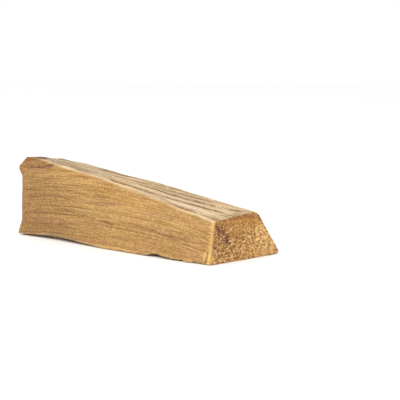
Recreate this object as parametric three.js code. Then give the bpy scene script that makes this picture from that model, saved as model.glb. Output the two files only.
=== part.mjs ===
// A chunky palo santo stick: one wedge of resinous wood, split from the log along the grain
// and sawn across at both ends. It lies on its widest split face. +X runs with the grain to the
// thin end, -Y is the broad smooth face and +Z is up. All sizes are millimetres.
// Places on the stick are given by s, the distance from the thick end's saw cut, and by v,
// the share of the way across a face.
import * as THREE from "three";

// Driving dimensions
const LENGTH = 98.4; // from saw cut to saw cut
const CUT_SKEW = 0.117; // both cuts run this far along the grain for each millimetre across it
const BASE_WIDTH = 36.5;
const THICK_END = 31.2; // height
const THIN_END = 17.2;
const TOP_WIDTH = 20.0;

// The long edges, each as [s, y, z], with y measured from the foot of the smooth face
const FRONT_FOOT = [
  [0, 0, 0.5],
  [8, 0, 1.3],
  [20, 0, 2.35],
  [30, 0, 1.45],
  [43, 0, 0.3],
  [55, 0, 0.1],
  [66, 0, 0.2],
  [69.5, 0, 0.6],
  [72, 0.2, 1.35],
  [75, 0.15, 1.15],
  [79, 0, 0.6],
  [85, 0.25, 0.3],
  [92, 0.9, 0.12],
  [LENGTH, 1.8, 0.3],
];
const FRONT_TOP = [
  [0, 1.0, THICK_END - 0.1],
  [8, 1.6, THICK_END - 0.05],
  [13, 1.9, THICK_END - 0.2],
  [17, 2.0, THICK_END - 1.0],
  [25, 2.2, THICK_END - 2.15],
  [43, 2.6, THICK_END - 4.6],
  [60, 3.0, THICK_END - 7.9],
  [76, 3.4, THICK_END - 11.1],
  [LENGTH, 3.8, THIN_END - 1.4],
];
const BACK_TOP = [
  [0, 1.9 + TOP_WIDTH, THICK_END - 2.8],
  [20, 1.9 + TOP_WIDTH, THICK_END - 4.2],
  [35, 2.2 + TOP_WIDTH, THICK_END - 6.1],
  [50, 2.5 + TOP_WIDTH, THICK_END - 7.4],
  [75, 3.3 + TOP_WIDTH, THICK_END - 10.8],
  [LENGTH, 3.8 + TOP_WIDTH, THIN_END + 0.1],
];
const SHOULDER = [
  [0, 3.9 + TOP_WIDTH, THICK_END - 4.6],
  [30, 4.4 + TOP_WIDTH, THICK_END - 7.6],
  [65, 5.6 + TOP_WIDTH, THICK_END - 12.2],
  [88, 5.8 + TOP_WIDTH, THIN_END - 0.6],
  [LENGTH, 5.5 + TOP_WIDTH, THIN_END - 0.9],
];
const BACK_FOOT = [
  [0, BASE_WIDTH - 1.6, 1.2],
  [28, BASE_WIDTH + 0.3, 0.5],
  [62, BASE_WIDTH + 0.9, 0.6],
  [LENGTH, BASE_WIDTH, 0.6],
];
const FOOT_RISE_WIDTH = 6.5; // the resting face curves up to its two long edges over this width

// Torn grooves that follow the grain. from and to are [s, v] at their ends,
// and near and far are how wide they are on each side of that line.
const TOP_GROOVES = [
  { from: [67, 0.045], to: [95, 0.105], depth: 0.5, near: 0.8, far: 1.5 },
  { from: [42, 0.03], to: [97, 0.51], depth: 0.75, near: 1.1, far: 1.9 },
  { from: [36, 0.26], to: [97, 0.8], depth: 0.75, near: 1.1, far: 1.9 },
  { from: [4, 0.3], to: [62, 0.82], depth: 0.4, near: 1.2, far: 2.6 },
  { from: [0, 0.62], to: [40, 0.92], depth: 0.35, near: 1.1, far: 2.0 },
];
const BACK_GROOVES = [
  { from: [3, 0.19], to: [80, 0.27], depth: 0.9, near: 1.5, far: 3.0 },
  { from: [54, 0.13], to: [95, 0.17], depth: 0.4, near: 1.2, far: 1.7 },
  { from: [28, 0.44], to: [92, 0.6], depth: 0.65, near: 1.9, far: 2.6 },
  { from: [0, 0.62], to: [60, 0.8], depth: 0.8, near: 2.4, far: 1.5 },
];
const BASE_GROOVES = [
  { from: [4, 0.3], to: [72, 0.26], depth: 0.45, near: 1.4, far: 1.8 },
  { from: [30, 0.55], to: [94, 0.6], depth: 0.5, near: 1.6, far: 1.6 },
  { from: [8, 0.78], to: [60, 0.82], depth: 0.4, near: 1.5, far: 1.5 },
];
const GROOVE_FADE = 9; // a groove dies out over this length at each end

// A low hump on the torn top near the thick end: its middle and how far it reaches each way
const HUMP = { at: 9, across: 0.22, height: 0.7, length: 9, width: 4.5 };

// The smooth face bellies out a little, straightens over a short length before the thin end,
// and turns in where it meets the thick end's cut
const FRONT_BELLY = 0.35;
const FRONT_STRAIGHTENS = 14;
const END_TURN_IN = 1.8;
const END_TURN_LENGTH = 4.2;

// The back bellies out more, and straightens over this length before the thin end
const BACK_BELLY = 1.1;
const BACK_STRAIGHTENS = 45;

// A sliver stands proud of the smooth face, just below its top edge at the thick end
const SLIVER = { from: 2, to: 21, drop: 3.4, proud: 0.45 };

// Broken corners, each cut off by a plane through at, [s, y, z], that faces out along towards
const BREAKS = [
  { at: [0, 2.2, 28.55], towards: [-0.45, -0.55, 0.7] },
  { at: [LENGTH, 25.2, 16.4], towards: [0.1, 0.55, 0.83] },
  { at: [0, 34.2, 1.6], towards: [-0.6, 0.7, -0.4] },
];

const STATIONS = 50;
const FRONT_STEPS = 16;
const TOP_STEPS = 36;
const SHOULDER_STEPS = 3;
const BACK_STEPS = 15;
const BASE_STEPS = 24;
const STATION_CROWDING = 0.35; // 0 spaces the stations evenly, more draws them to the ends

// A smooth curve through the rows of a table, as a function of its first column
function along(rows) {
  return (s) => {
    const last = rows.length - 2;
    let i = 0;
    while (i < last && s > rows[i + 1][0]) i++;
    const span = rows[i + 1][0] - rows[i][0];
    const t = THREE.MathUtils.clamp((s - rows[i][0]) / span, 0, 1);
    const ease = [2 * t ** 3 - 3 * t ** 2 + 1, -2 * t ** 3 + 3 * t ** 2];
    const pull = [t ** 3 - 2 * t ** 2 + t, t ** 3 - t ** 2];
    const slope = (k, c) => {
      const a = rows[Math.max(k - 1, 0)];
      const b = rows[Math.min(k + 1, rows.length - 1)];
      return ((b[c] - a[c]) / (b[0] - a[0])) * span;
    };
    return [1, 2].map((c) => {
      const level = ease[0] * rows[i][c] + ease[1] * rows[i + 1][c];
      return level + pull[0] * slope(i, c) + pull[1] * slope(i + 1, c);
    });
  };
}

const smooth = (low, high, x) => THREE.MathUtils.smoothstep(x, low, high);
const mix = THREE.MathUtils.lerp;

// How deep the grooves of a face are at one place
function grooveDepth(grooves, s, v, width) {
  let depth = 0;
  for (const g of grooves) {
    const t = (s - g.from[0]) / (g.to[0] - g.from[0]);
    const off = (v - mix(g.from[1], g.to[1], t)) * width;
    const reach = Math.max(0, 1 - (off / (off < 0 ? g.near : g.far)) ** 2);
    const start = smooth(g.from[0], g.from[0] + GROOVE_FADE, s);
    const end = 1 - smooth(g.to[0] - GROOVE_FADE, g.to[0], s);
    depth += g.depth * start * end * reach ** 2;
  }
  return depth;
}

// Slow waves that no split face is free of
const wave = (s, v, height, phase) =>
  height * (Math.sin(s / 13 + 3.1 * v + phase) + 0.6 * Math.sin(s / 7.3 - 5.3 * v + 2 * phase)) * 0.6;

function frontRelief(s, v, width) {
  const belly = FRONT_BELLY * 4 * v * (1 - v) * (1 - smooth(LENGTH - FRONT_STRAIGHTENS, LENGTH, s));
  const across = smooth(0, 0.22, v) * (1 - smooth(0.73, 0.87, v));
  const turn = END_TURN_IN * Math.max(0, 1 - s / END_TURN_LENGTH) ** 2 * across;
  const below = (1 - v) * width;
  const lip = SLIVER.drop * (1 - smooth(SLIVER.to - 8, SLIVER.to, s));
  const proud = SLIVER.proud * smooth(SLIVER.from - 2, SLIVER.from, s) * (below < lip ? 1 : 0);
  return belly - turn + proud + wave(s, v, 0.12, 0.4);
}

function topRelief(s, v, width) {
  const away = ((s - HUMP.at) / HUMP.length) ** 2 + (((v - HUMP.across) * width) / HUMP.width) ** 2;
  const hump = HUMP.height * Math.max(0, 1 - away) ** 2;
  return wave(s, v, 0.2, 1.7) + hump - grooveDepth(TOP_GROOVES, s, v, width);
}

function backRelief(s, v, width) {
  const uneven = BACK_BELLY * 4 * v * (1 - v) + wave(s, v, 0.3, 2.9);
  const straightened = uneven * (1 - smooth(LENGTH - BACK_STRAIGHTENS, LENGTH, s));
  return straightened - grooveDepth(BACK_GROOVES, s, v, width);
}

// A face from one edge to the next: points on the chord, moved out along its normal by the relief
function faceRow(from, to, steps, s, relief) {
  const across = [to[0] - from[0], to[1] - from[1]];
  const width = Math.hypot(...across);
  const out = [across[1] / width, -across[0] / width].map((n) => -n);
  const ends = [relief(s, 0, width), relief(s, 1, width)];
  return Array.from({ length: steps }, (_, i) => {
    const v = i / steps;
    const height = relief(s, v, width) - mix(ends[0], ends[1], v);
    return [from[0] + across[0] * v + out[0] * height, from[1] + across[1] * v + out[1] * height];
  });
}

// The resting face is flat on the ground, apart from its grooves and its two raised edges
function baseRow(from, to, steps, s) {
  const width = from[0] - to[0];
  const rise = (distance) => Math.max(0, 1 - distance / FOOT_RISE_WIDTH) ** 2;
  return Array.from({ length: steps }, (_, i) => {
    const v = i / steps;
    const lift = from[1] * rise(v * width) + to[1] * rise((1 - v) * width);
    return [mix(from[0], to[0], v), lift + grooveDepth(BASE_GROOVES, s, v, width)];
  });
}

const edges = [FRONT_FOOT, FRONT_TOP, BACK_TOP, SHOULDER, BACK_FOOT].map(along);

// One section of the stick, as a ring of [y, z] from the foot of the smooth face up, over the top
// and back along the base
function sectionAt(s) {
  const [frontFoot, frontTop, backTop, shoulder, backFoot] = edges.map((edge) => edge(s));
  const none = () => 0;
  return [
    ...faceRow(frontFoot, frontTop, FRONT_STEPS, s, frontRelief),
    ...faceRow(frontTop, backTop, TOP_STEPS, s, topRelief),
    ...faceRow(backTop, shoulder, SHOULDER_STEPS, s, none),
    ...faceRow(shoulder, backFoot, BACK_STEPS, s, backRelief),
    ...baseRow(backFoot, frontFoot, BASE_STEPS, s),
  ];
}

// Moves a point that lies beyond a broken corner's plane back onto the plane
function breakOff(point) {
  for (const { at, towards } of BREAKS) {
    const out = new THREE.Vector3(...towards).normalize();
    const corner = new THREE.Vector3(at[0] + CUT_SKEW * at[1], at[1], at[2]);
    const beyond = point.clone().sub(corner).dot(out);
    if (beyond > 0) point.addScaledVector(out, -beyond);
  }
  return point;
}

// Closes a sawn end with a fan round the middle of its ring
function closeEnd(positions, index, first, count, s) {
  let [y, z] = [0, 0];
  for (let j = first; j < first + count; j++) {
    y += positions[3 * j + 1] / count;
    z += positions[3 * j + 2] / count;
  }
  const middle = positions.length / 3;
  positions.push(s + CUT_SKEW * y, y, z);
  for (let j = 0; j < count; j++) {
    const a = first + j;
    const b = first + ((j + 1) % count);
    index.push(middle, s > 0 ? b : a, s > 0 ? a : b);
  }
}

function stickGeometry() {
  const positions = [];
  const index = [];
  let count = 0;
  for (let i = 0; i <= STATIONS; i++) {
    const t = i / STATIONS;
    const s = LENGTH * (t - (STATION_CROWDING * Math.sin(2 * Math.PI * t)) / (2 * Math.PI));
    const ring = sectionAt(s);
    count = ring.length;
    for (const [y, z] of ring) positions.push(...breakOff(new THREE.Vector3(s + CUT_SKEW * y, y, z)));
  }
  for (let i = 0; i < STATIONS; i++) {
    for (let j = 0; j < count; j++) {
      const a = i * count + j;
      const b = i * count + ((j + 1) % count);
      index.push(a, a + count, b, b, a + count, b + count);
    }
  }
  closeEnd(positions, index, 0, count, 0);
  closeEnd(positions, index, STATIONS * count, count, LENGTH);
  const geometry = new THREE.BufferGeometry();
  geometry.setAttribute("position", new THREE.Float32BufferAttribute(positions, 3));
  geometry.setIndex(index);
  geometry.computeBoundingBox();
  const { min, max } = geometry.boundingBox;
  geometry.translate(-(min.x + max.x) / 2, -(min.y + max.y) / 2, -min.z);
  geometry.computeVertexNormals();
  return geometry;
}

const wood = new THREE.MeshStandardMaterial({ color: "#c49a62", roughness: 0.78, metalness: 0 });
const stick = new THREE.Mesh(stickGeometry(), wood);
stick.name = "palo_santo_stick";

const part = new THREE.Group();
part.add(stick);
export default part;
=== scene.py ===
"""The looks of a chunky palo santo stick: a wedge of split wood with a smooth face towards -Y, a torn
top and back, a flat resting face and a sawn cut at both ends.

Its shape is in millimetres from the foot of the smooth face at the thick end. s runs along the
grain, y across it and z up, v is the share of the way across a face, and across the same in
millimetres.
"""
import math

import bpy
import numpy as np
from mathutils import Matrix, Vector


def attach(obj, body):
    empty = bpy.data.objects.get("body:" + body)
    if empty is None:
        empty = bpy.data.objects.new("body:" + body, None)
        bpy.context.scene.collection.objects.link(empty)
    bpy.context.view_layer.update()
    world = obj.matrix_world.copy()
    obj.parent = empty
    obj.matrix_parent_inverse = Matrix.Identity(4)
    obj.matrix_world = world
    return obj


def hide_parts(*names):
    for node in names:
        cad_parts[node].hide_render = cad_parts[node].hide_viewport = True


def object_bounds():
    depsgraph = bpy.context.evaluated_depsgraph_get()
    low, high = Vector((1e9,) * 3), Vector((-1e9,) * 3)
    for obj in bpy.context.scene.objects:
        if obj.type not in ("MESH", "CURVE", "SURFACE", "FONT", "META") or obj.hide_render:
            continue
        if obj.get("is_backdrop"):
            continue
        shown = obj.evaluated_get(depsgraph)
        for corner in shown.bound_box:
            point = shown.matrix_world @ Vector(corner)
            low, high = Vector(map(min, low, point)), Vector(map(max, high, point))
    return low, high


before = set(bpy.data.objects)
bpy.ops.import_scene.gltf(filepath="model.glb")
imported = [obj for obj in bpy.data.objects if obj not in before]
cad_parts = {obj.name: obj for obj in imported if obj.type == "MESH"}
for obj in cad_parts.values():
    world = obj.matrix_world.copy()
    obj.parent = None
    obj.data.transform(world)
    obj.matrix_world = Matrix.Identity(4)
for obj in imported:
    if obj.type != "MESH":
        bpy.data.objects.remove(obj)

cad_low, cad_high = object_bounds()

MM = 0.001
SEED = 20
FRONT, TOP, SHOULDER_FACE, BACK, BASE, END, THICK_CUT = range(7)
STICK_NODE = "palo_santo_stick"
CORNER = np.array([cad_low[0], cad_low[1], 0])  # the foot of the smooth face at the thick end

# The stick's driving dimensions
LENGTH = 98.4
CUT_SKEW = 0.117
BASE_WIDTH = 36.5
THICK_END = 31.2
THIN_END = 17.2
TOP_WIDTH = 20

# The long edges, each as (s, y, z)
FRONT_FOOT = [
    (0, 0, 0.5), (8, 0, 1.3), (20, 0, 2.35), (30, 0, 1.45), (43, 0, 0.3), (55, 0, 0.1),
    (66, 0, 0.2), (69.5, 0, 0.6), (72, 0.2, 1.35), (75, 0.15, 1.15), (79, 0, 0.6),
    (85, 0.25, 0.3), (92, 0.9, 0.12), (LENGTH, 1.8, 0.3),
]
FRONT_TOP = [
    (0, 1, THICK_END - 0.1), (8, 1.6, THICK_END - 0.05), (13, 1.9, THICK_END - 0.2),
    (17, 2, THICK_END - 1), (25, 2.2, THICK_END - 2.15), (43, 2.6, THICK_END - 4.6),
    (60, 3, THICK_END - 7.9), (76, 3.4, THICK_END - 11.1), (LENGTH, 3.8, THIN_END - 1.4),
]
BACK_TOP = [
    (0, 1.9 + TOP_WIDTH, THICK_END - 2.8), (20, 1.9 + TOP_WIDTH, THICK_END - 4.2),
    (35, 2.2 + TOP_WIDTH, THICK_END - 6.1), (50, 2.5 + TOP_WIDTH, THICK_END - 7.4),
    (75, 3.3 + TOP_WIDTH, THICK_END - 10.8), (LENGTH, 3.8 + TOP_WIDTH, THIN_END + 0.1),
]
SHOULDER = [
    (0, 3.9 + TOP_WIDTH, THICK_END - 4.6), (30, 4.4 + TOP_WIDTH, THICK_END - 7.6),
    (65, 5.6 + TOP_WIDTH, THICK_END - 12.2), (88, 5.8 + TOP_WIDTH, THIN_END - 0.6),
    (LENGTH, 5.5 + TOP_WIDTH, THIN_END - 0.9),
]
BACK_FOOT = [
    (0, BASE_WIDTH - 1.6, 1.2), (28, BASE_WIDTH + 0.3, 0.5), (62, BASE_WIDTH + 0.9, 0.6),
    (LENGTH, BASE_WIDTH, 0.6),
]
FOOT_RISE_WIDTH = 6.5

# Torn grooves along the grain: (s, v) at both ends, depth, and width on each side of that line
TOP_GROOVES = [
    ((67, 0.045), (95, 0.105), 0.5, 0.8, 1.5),
    ((42, 0.03), (97, 0.51), 0.75, 1.1, 1.9),
    ((36, 0.26), (97, 0.8), 0.75, 1.1, 1.9),
    ((4, 0.3), (62, 0.82), 0.4, 1.2, 2.6),
    ((0, 0.62), (40, 0.92), 0.35, 1.1, 2),
]
BACK_GROOVES = [
    ((3, 0.19), (80, 0.27), 0.9, 1.5, 3),
    ((54, 0.13), (95, 0.17), 0.4, 1.2, 1.7),
    ((28, 0.44), (92, 0.6), 0.65, 1.9, 2.6),
    ((0, 0.62), (60, 0.8), 0.8, 2.4, 1.5),
]
BASE_GROOVES = [
    ((4, 0.3), (72, 0.26), 0.45, 1.4, 1.8),
    ((30, 0.55), (94, 0.6), 0.5, 1.6, 1.6),
    ((8, 0.78), (60, 0.82), 0.4, 1.5, 1.5),
]
GROOVE_FADE = 9

# Cracks just past the grooves' lines, painted dark as shade, and the lips beside them, painted bright as
# highlight
SPLIT_OFF = 0.5
SPLITS = {TOP: (1, 0.55), BACK: (0.6, 0.3), BASE: (0.5, 0.3)}  # how dark the painted shade is on each face, and how wide
SPLIT_DEPTH = 0.35
SPLIT_SWAY = 0.35
SPLIT_BEND = 6  # the lengths of its bends, of its quivers and of its darker stretches
SPLIT_QUIVER = 1.7
SPLIT_STRETCH = 5
SPLIT_QUIVER_SHARE = 0.5
SPLIT_LEVEL = 0.8  # how dark the painted shade of a crack is, and how much that varies
SPLIT_VARIES = 0.3
LIP_HIGHLIGHTS = [(-1.5, 0.7), (2.4, 0.9)]  # painted highlights on the lips: (how far off the line, width)

# Slow waves: millimetres along the grain for each radian, and radians across a face
SLOW_WAVE = (13, 3.1)
QUICK_WAVE = (7.3, -5.3)
QUICK_SHARE = 0.6
WAVE_SCALE = 0.6
FRONT_WAVE = (0.12, 0.4)  # height and phase
TOP_WAVE = (0.2, 1.7)
BACK_WAVE = (0.3, 2.9)

# A low hump on the torn top near the thick end
HUMP_AT = 9
HUMP_ACROSS = 0.22
HUMP_HEIGHT = 0.7
HUMP_LENGTH = 9
HUMP_WIDTH = 4.5

FRONT_BELLY = 0.35
FRONT_STRAIGHTENS = 14
END_TURN_IN = 1.8
END_TURN_LENGTH = 4.2
END_TURN_RISES = (0, 0.22)  # as shares of the way up
END_TURN_FALLS = (0.73, 0.87)
BACK_BELLY = 1.1
BACK_STRAIGHTENS = 45

# Broken corners, each cut off by a plane: a point (s, y, z) on it, and the way that it faces
BREAKS = [
    ((0, 2.2, 28.55), (-0.45, -0.55, 0.7)),
    ((LENGTH, 25.2, 16.4), (0.1, 0.55, 0.83)),
    ((0, 34.2, 1.6), (-0.6, 0.7, -0.4)),
]
BREAK_ROUGHNESS = 0.12
BREAK_GRAIN = (1.5, 0.8, 0.8)

# The lifted sliver below the smooth face's top edge, and the split beneath it
SLIVER_FROM = 2
SLIVER_TO = 21
SLIVER_START = 2
SLIVER_TAPER = 8
SLIVER_DROP = 3.4
SLIVER_THINNEST = (0.3, 1.2)
SLIVER_RAG = 0.25
SLIVER_RAG_LENGTH = 2.2
SLIVER_PROUD = 0.22
SLIVER_STEP = 0.15
SLIVER_GAP = 0.35
SLIVER_GAP_WIDTH = 0.35

# An upright crack in the foot of the smooth face, beside the thin end's cut
CRACK_AT = 96.2
CRACK_HEIGHT = 4.4
CRACK_FADE = 1.2
CRACK_DEPTH = 0.45
CRACK_WIDTH = 0.4
CRACK_SWAY = 0.3

# The grain arches along the smooth face and runs aslant across the others, where the noise is drawn
# out at right angles to the face too
ARCH_MIDDLE = 45
ARCH = 0.00124
TOP_SLANT = 0.17
BACK_SLANT = 0.09
BASE_SLANT = 0.02
TOP_SHALLOW = 0.15
BACK_SHALLOW = 0.2
BACK_FINENESS = 1.6
# How far from the smooth face's place in the noise the others lie
TOP_PLACE = 40
BACK_PLACE = 80
BASE_PLACE = 120
END_PLACE = 160

# The mesh's steps. The back has the front's, and the base has the top's and its shoulder's, so that
# the sawn ends are plain grids.
STATIONS = 182
FRONT_STEPS = 88
TOP_STEPS = 100
SHOULDER_STEPS = 10
BASE_STEPS = TOP_STEPS + SHOULDER_STEPS
STATION_CROWDING = 0.35
STEP_CROWDING = 0.3

# Corners of a section, counted in steps round its ring from the foot of the smooth face
TOP_CORNER = FRONT_STEPS
BACK_CORNER = TOP_CORNER + TOP_STEPS
SHOULDER_CORNER = BACK_CORNER + SHOULDER_STEPS
FOOT_CORNER = SHOULDER_CORNER + FRONT_STEPS
RING = FOOT_CORNER + BASE_STEPS

FACE_SPANS = {
    FRONT: (0, TOP_CORNER),
    TOP: (TOP_CORNER, BACK_CORNER),
    SHOULDER_FACE: (BACK_CORNER, SHOULDER_CORNER),
    BACK: (SHOULDER_CORNER, FOOT_CORNER),
    BASE: (FOOT_CORNER, RING),
}
GROOVES = {TOP: TOP_GROOVES, BACK: BACK_GROOVES, BASE: BASE_GROOVES}


# Noise and curves

LATTICE_SIZE = 64
LATTICE = np.random.default_rng(SEED).uniform(-1, 1, (LATTICE_SIZE,) * 3)
OCTAVE_SHIFT = 17.3
OCTAVE_STRENGTH = 0.55


def smooth(low, high, x):
    """0 below low, 1 above high, and an S between them."""
    t = np.clip((x - low) / (high - low), 0, 1)
    return t * t * (3 - 2 * t)


def between(start, end, rise, fall, s):
    """1 from start to end, but rising and falling over these lengths."""
    return smooth(start, start + rise, s) * (1 - smooth(end - fall, end, s))


def bell(x):
    """1 at 0, falling off on both sides."""
    return np.exp(-(x**2))


def fading(x):
    """1 at 0, and 0 from 1 on."""
    return np.maximum(0, 1 - x) ** 2


def noise(x, y=0, z=0):
    """Smooth random values from -1 to 1, with one wave to about two units. A y or z that stays the
    same only picks a place in it."""
    places = np.array(np.broadcast_arrays(x, y, z), float)
    cell = np.floor(places).astype(int)
    t = places - cell
    ease = t * t * t * (t * (6 * t - 15) + 10)
    total = 0
    for steps in np.ndindex(2, 2, 2):
        weight = math.prod(np.abs(1 - step - e) for step, e in zip(steps, ease))
        corner = tuple((c + step) % LATTICE_SIZE for c, step in zip(cell, steps))
        total = total + weight * LATTICE[corner]
    return total


def fibres(grain, length, width, place):
    """Noise drawn out along the grain, with a finer and fainter layer."""
    x, p, q = grain
    total = 0
    for octave in range(2):
        scale = 2**octave
        shift = place + OCTAVE_SHIFT * octave
        wide = scale / width
        level = noise(x * scale / length + shift, p * wide + shift, q * wide - shift)
        total = total + level * OCTAVE_STRENGTH**octave
    return total


def along(rows, s):
    """A smooth curve through an edge's rows, at each s."""
    table = np.array(rows, float)
    i = np.clip(np.searchsorted(table[:, 0], s) - 1, 0, len(table) - 2)
    span = (table[i + 1, 0] - table[i, 0])[:, None]
    t = np.clip((s - table[i, 0])[:, None] / span, 0, 1)

    def slope(k):
        rise = table[np.minimum(k + 1, len(table) - 1)] - table[np.maximum(k - 1, 0)]
        return rise[:, 1:] / rise[:, :1] * span

    level = (2 * t**3 - 3 * t**2 + 1) * table[i, 1:] + (3 * t**2 - 2 * t**3) * table[i + 1, 1:]
    return level + (t**3 - 2 * t**2 + t) * slope(i) + (t**3 - t**2) * slope(i + 1)


def crowd(steps, crowding):
    """Steps from 0 to 1 that crowd towards both ends."""
    t = np.linspace(0, 1, steps + 1)
    return t - crowding * np.sin(2 * np.pi * t) / (2 * np.pi)


# The form of each face, as a height above the flat strip between its two edges

def groove_line(start, end, s):
    """Where a groove's line lies across its face at each s."""
    return start[1] + (end[1] - start[1]) * (s - start[0]) / (end[0] - start[0])


def groove_depth(grooves, s, v, width):
    depth = 0
    for start, end, deep, near, far in grooves:
        off = (v - groove_line(start, end, s)) * width
        fade = between(start[0], end[0], GROOVE_FADE, GROOVE_FADE, s)
        depth = depth + deep * fade * fading((off / np.where(off < 0, near, far)) ** 2)
    return depth


def split_shading_along(face, s, v, width):
    """1 along each groove's crack, painted dark as shade, and -1 on its lips, painted bright as highlight.
    """
    split_shading = 0 * s * v
    strength, half = SPLITS.get(face, (0, 1))
    for start, end, *_ in GROOVES.get(face, []):
        quiver = SPLIT_QUIVER_SHARE * noise(s / SPLIT_QUIVER, 4.9 * start[0])
        sway = SPLIT_SWAY * (noise(s / SPLIT_BEND, 3.3 * start[0]) + quiver)
        off = (v - groove_line(start, end, s)) * width + sway
        stretches = SPLIT_VARIES * noise(s / SPLIT_STRETCH, 6.1 * start[1] + face)
        varied = strength * (SPLIT_LEVEL + stretches)
        dark = bell((off - SPLIT_OFF) / half)
        lips = sum(bell((off - place) / wide) for place, wide in LIP_HIGHLIGHTS)
        open_here = between(start[0], end[0], GROOVE_FADE, GROOVE_FADE / 2, s)
        split_shading = split_shading + open_here * varied * (dark - lips)
    return np.clip(split_shading, -1, 1)


def wave(s, v, height, phase):
    slow = np.sin(s / SLOW_WAVE[0] + SLOW_WAVE[1] * v + phase)
    quick = np.sin(s / QUICK_WAVE[0] + QUICK_WAVE[1] * v + 2 * phase)
    return height * (slow + QUICK_SHARE * quick) * WAVE_SCALE


def front_form(s, v, width):
    belly = FRONT_BELLY * 4 * v * (1 - v) * (1 - smooth(LENGTH - FRONT_STRAIGHTENS, LENGTH, s))
    middle = smooth(*END_TURN_RISES, v) * (1 - smooth(*END_TURN_FALLS, v))
    turn = END_TURN_IN * fading(s / END_TURN_LENGTH) * middle
    below = (1 - v) * width
    lip = SLIVER_DROP * (1 - smooth(SLIVER_TO - SLIVER_TAPER, SLIVER_TO, s))
    lip = lip + SLIVER_RAG * noise(s / SLIVER_RAG_LENGTH)
    started = smooth(SLIVER_FROM - SLIVER_START, SLIVER_FROM, s) * smooth(*SLIVER_THINNEST, lip)
    proud = SLIVER_PROUD * started * smooth(-SLIVER_STEP, SLIVER_STEP, lip - below)
    gap = SLIVER_GAP * started * bell((below - lip - SLIVER_GAP_WIDTH / 2) / SLIVER_GAP_WIDTH)
    return belly - turn + proud - gap + wave(s, v, *FRONT_WAVE)


def top_form(s, v, width):
    off_hump = ((s - HUMP_AT) / HUMP_LENGTH) ** 2 + ((v - HUMP_ACROSS) * width / HUMP_WIDTH) ** 2
    hump = HUMP_HEIGHT * fading(off_hump)
    return wave(s, v, *TOP_WAVE) + hump - groove_depth(TOP_GROOVES, s, v, width)


def back_form(s, v, width):
    uneven = BACK_BELLY * 4 * v * (1 - v) + wave(s, v, *BACK_WAVE)
    straightened = uneven * (1 - smooth(LENGTH - BACK_STRAIGHTENS, LENGTH, s))
    return straightened - groove_depth(BACK_GROOVES, s, v, width)


def flat_form(s, v, width):
    return 0 * s * v


def face_grid(start, end, s, v, form):
    """A face's points (s, y, z), and the way that it faces, station by station."""
    across = end - start
    width = np.hypot(across[:, 0], across[:, 1])[:, None]
    out = np.stack([-across[:, 1], across[:, 0]], 1) / width
    height = form(s[:, None], v, width)
    low, high = height[:, :1], height[:, -1:]
    height = height - (low + (high - low) * v)
    chord = start[:, None, :] + across[:, None, :] * v[None, :, None]
    section = chord + out[:, None, :] * height[..., None]
    stations = np.broadcast_to(s[:, None], height.shape)
    return np.concatenate([stations[..., None], section], 2), out


def base_grid(start, end, s, v):
    """The resting face, flat on the ground apart from its grooves and raised edges."""
    width = (start[:, 0] - end[:, 0])[:, None]
    rise_back = fading(v * width / FOOT_RISE_WIDTH)
    rise_front = fading((1 - v) * width / FOOT_RISE_WIDTH)
    grooves = groove_depth(BASE_GROOVES, s[:, None], v, width)
    z = start[:, 1:] * rise_back + end[:, 1:] * rise_front + grooves
    y = start[:, :1] + (end - start)[:, :1] * v
    stations = np.broadcast_to(s[:, None], y.shape)
    return np.stack([stations, y, z], 2), np.tile([0, -1], (len(s), 1))


def ring_grids(s):
    """Each face's points, the way that it faces, and its steps across."""
    edges = [along(rows, s) for rows in (FRONT_FOOT, FRONT_TOP, BACK_TOP, SHOULDER, BACK_FOOT)]
    forms = {FRONT: front_form, TOP: top_form, SHOULDER_FACE: flat_form, BACK: back_form}
    grids = {}
    for (face, form), start, end in zip(forms.items(), edges, edges[1:]):
        first, last = FACE_SPANS[face]
        v = crowd(last - first, 0 if face == SHOULDER_FACE else STEP_CROWDING)
        grids[face] = (*face_grid(start, end, s, v, form), v)
    v = crowd(BASE_STEPS, STEP_CROWDING)
    grids[BASE] = (*base_grid(edges[-1], edges[0], s, v), v)
    return grids


# Grain coordinates: how far along the fibres a point is, and where it lies across them

def front_grain(s, y, z):
    return s, y, z + ARCH * (s - ARCH_MIDDLE) ** 2


def top_grain(s, y, z):
    return s, y - TOP_SLANT * s, TOP_SHALLOW * z + TOP_PLACE


def back_grain(s, y, z):
    return s, BACK_SHALLOW * y + BACK_PLACE, BACK_FINENESS * (z + BACK_SLANT * s)


def base_grain(s, y, z):
    return s, y + BASE_SLANT * s, z + BASE_PLACE


def end_grain(s, y, z):
    return s + END_PLACE, y, z


GRAINS = {FRONT: front_grain, TOP: top_grain, BACK: back_grain, BASE: base_grain, END: end_grain}
GRAINS[SHOULDER_FACE] = back_grain


# Fine relief above the form. Each kind of fibre has a length, a width and a place in the noise.
FRONT_LINES = (30, 0.8, 3.1)
FRONT_LINE_HEIGHT = 0.045
FRONT_NAP = (1.6, 0.7, 9.7)
FRONT_NAP_HEIGHT = 0.03
TORN_RIDGES = (60, 2.4, 5.9)
TORN_RIDGE_STEEPNESS = 2.4
TORN_RIDGE_HEIGHT = 0.18
TORN_THREADS = (22, 0.8, 21.4)
TORN_THREAD_HEIGHT = 0.12
TORN_SUNK = 0.1
THIN_END_CALM = 0.75  # how much of the torn relief is lost towards the thin end's cut
THIN_END_CALMS = (LENGTH - 12, LENGTH - 5)


def front_fine(grain, s, across):
    crack = bell((s - CRACK_AT + CRACK_SWAY * noise(across / CRACK_FADE)) / CRACK_WIDTH)
    crack = crack * (1 - smooth(CRACK_HEIGHT - CRACK_FADE, CRACK_HEIGHT, across))
    raised = FRONT_LINE_HEIGHT * fibres(grain, *FRONT_LINES) + FRONT_NAP_HEIGHT * fibres(grain, *FRONT_NAP)
    return raised - CRACK_DEPTH * crack


def torn_fine(grain, s, across):
    ridges = 1 - TORN_RIDGE_STEEPNESS * np.abs(fibres(grain, *TORN_RIDGES))
    threads = fibres(grain, *TORN_THREADS)
    return TORN_RIDGE_HEIGHT * ridges + TORN_THREAD_HEIGHT * threads - TORN_SUNK


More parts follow.
